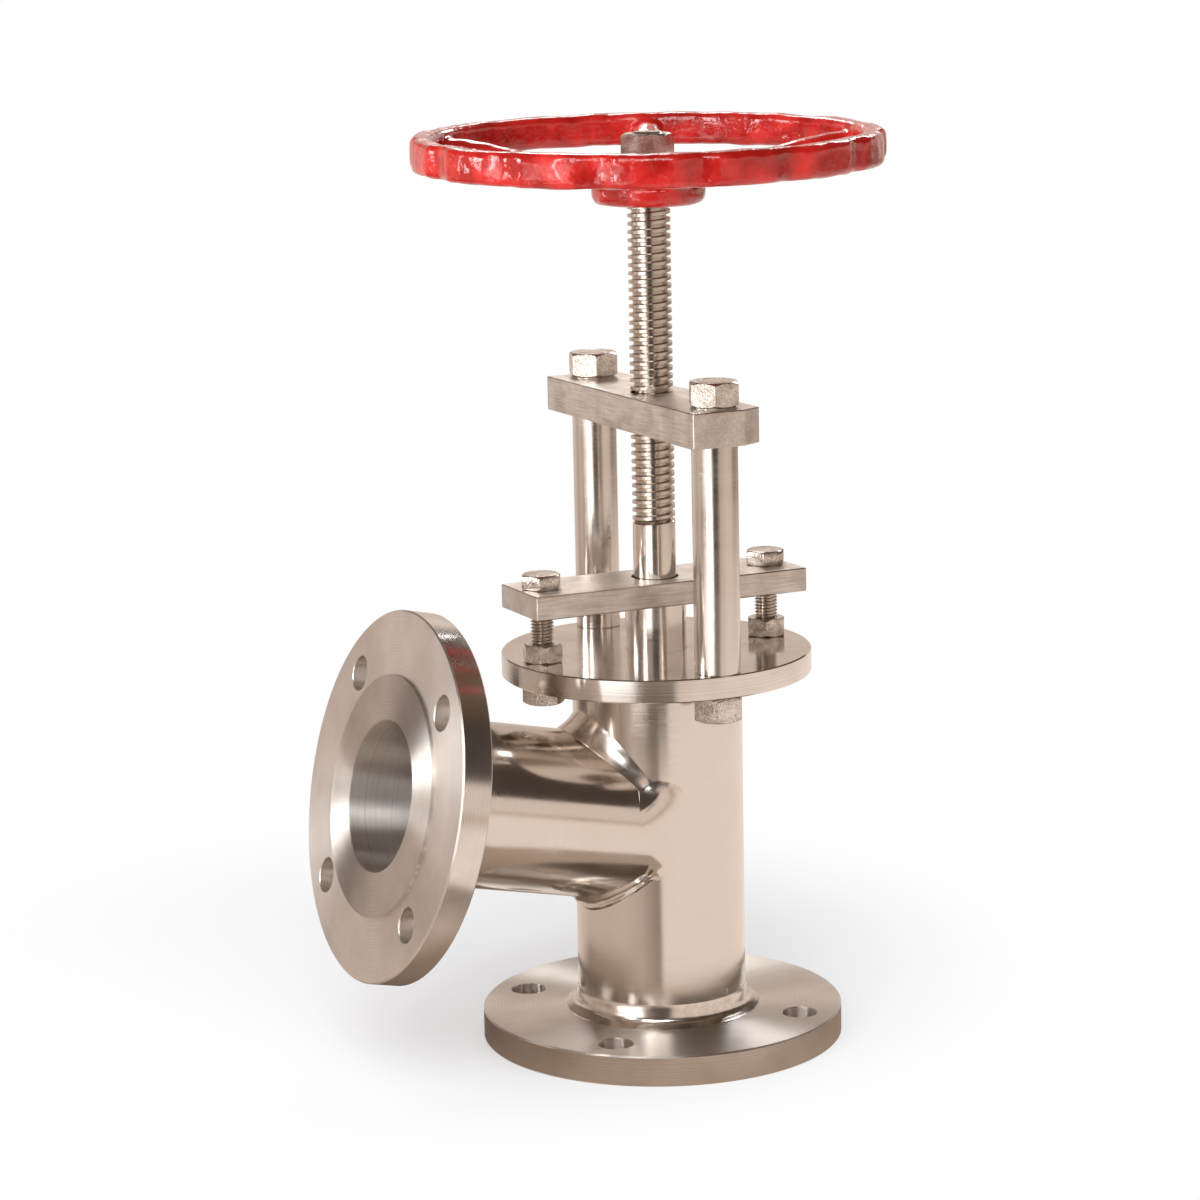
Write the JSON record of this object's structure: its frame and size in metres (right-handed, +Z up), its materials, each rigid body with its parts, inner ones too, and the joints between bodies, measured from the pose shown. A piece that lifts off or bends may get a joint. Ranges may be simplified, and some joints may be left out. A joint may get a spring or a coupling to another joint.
{
  "type": "flush bottom valve",
  "caption": "Flanged tank outlet valve: a handwheel and screwed stem in a pillar yoke lift a disc that closes flush with the tank flange; sloping flanged side outlet.",
  "frame": {"origin": "centre of the tank flange's bottom face", "axes": "+Z up the stem to the handwheel, -X towards the side outlet, +Y to the rear pillar"},
  "size_m": [0.298, 0.2429, 0.4795],
  "materials": {
    "turned_steel": "face turned stainless steel",
    "pipe_steel": "buffed stainless pipe",
    "weld_steel": "ground and polished weld",
    "plate_steel": "polished stainless plate",
    "bar_steel": "line brushed stainless flat bar",
    "round_bar_steel": "bright drawn stainless bar",
    "nut_steel": "forged stainless, bright",
    "bolt_steel": "rolled stainless thread",
    "seat_steel": "fine turned stainless steel",
    "packing_braid": "braided packing",
    "seal_plastic": "white fluoroplastic",
    "red_paint": "gloss red paint on cast iron"
  },
  "bodies": {
    "valve_body": {"body_pipe": "pipe_steel", "bonnet_plate": "plate_steel", "bonnet_weld": "weld_steel", "branch_weld": "weld_steel", "gland_bar": "bar_steel", "gland_base_nut_left": "nut_steel", "gland_base_nut_right": "nut_steel", "gland_bolt_left": "bolt_steel", "gland_bolt_right": "bolt_steel", "gland_lock_nut_left": "nut_steel", "gland_lock_nut_right": "nut_steel", "gland_sleeve": "round_bar_steel", "outlet_flange": "turned_steel", "outlet_flange_weld": "weld_steel", "outlet_pipe": "pipe_steel", "packing_ring_1": "packing_braid", "packing_ring_2": "packing_braid", "packing_ring_3": "packing_braid", "packing_ring_4": "packing_braid", "packing_washer": "seat_steel", "pillar_base_nut_front": "nut_steel", "pillar_base_nut_rear": "nut_steel", "pillar_front": "round_bar_steel", "pillar_rear": "round_bar_steel", "seat_ring": "seat_steel", "stuffing_box": "seat_steel", "tank_flange": "turned_steel", "tank_flange_weld": "weld_steel", "yoke_bar": "bar_steel", "yoke_nut_front": "nut_steel", "yoke_nut_rear": "nut_steel"},
    "plug": {"plug_disc": "seat_steel", "plug_seal": "seal_plastic", "plug_retainer": "seat_steel"},
    "spindle": {"stem": "round_bar_steel", "handwheel": "red_paint", "handwheel_nut": "nut_steel"}
  },
  "joints": [
    {"name": "disc_lift", "type": "slide", "parent": "valve_body", "child": "plug", "axis": [0, 0, 1], "range_m": [0, 0.0254]},
    {"name": "stem_turn", "type": "hinge", "parent": "plug", "child": "spindle", "pos_m": [0, 0, 0.3], "axis": [0, 0, 1], "range_deg": [0, 2160]}
  ],
  "couplings": [
    {"joint": "disc_lift", "follows": "stem_turn", "m_per_rad": 0.00067375}
  ]
}
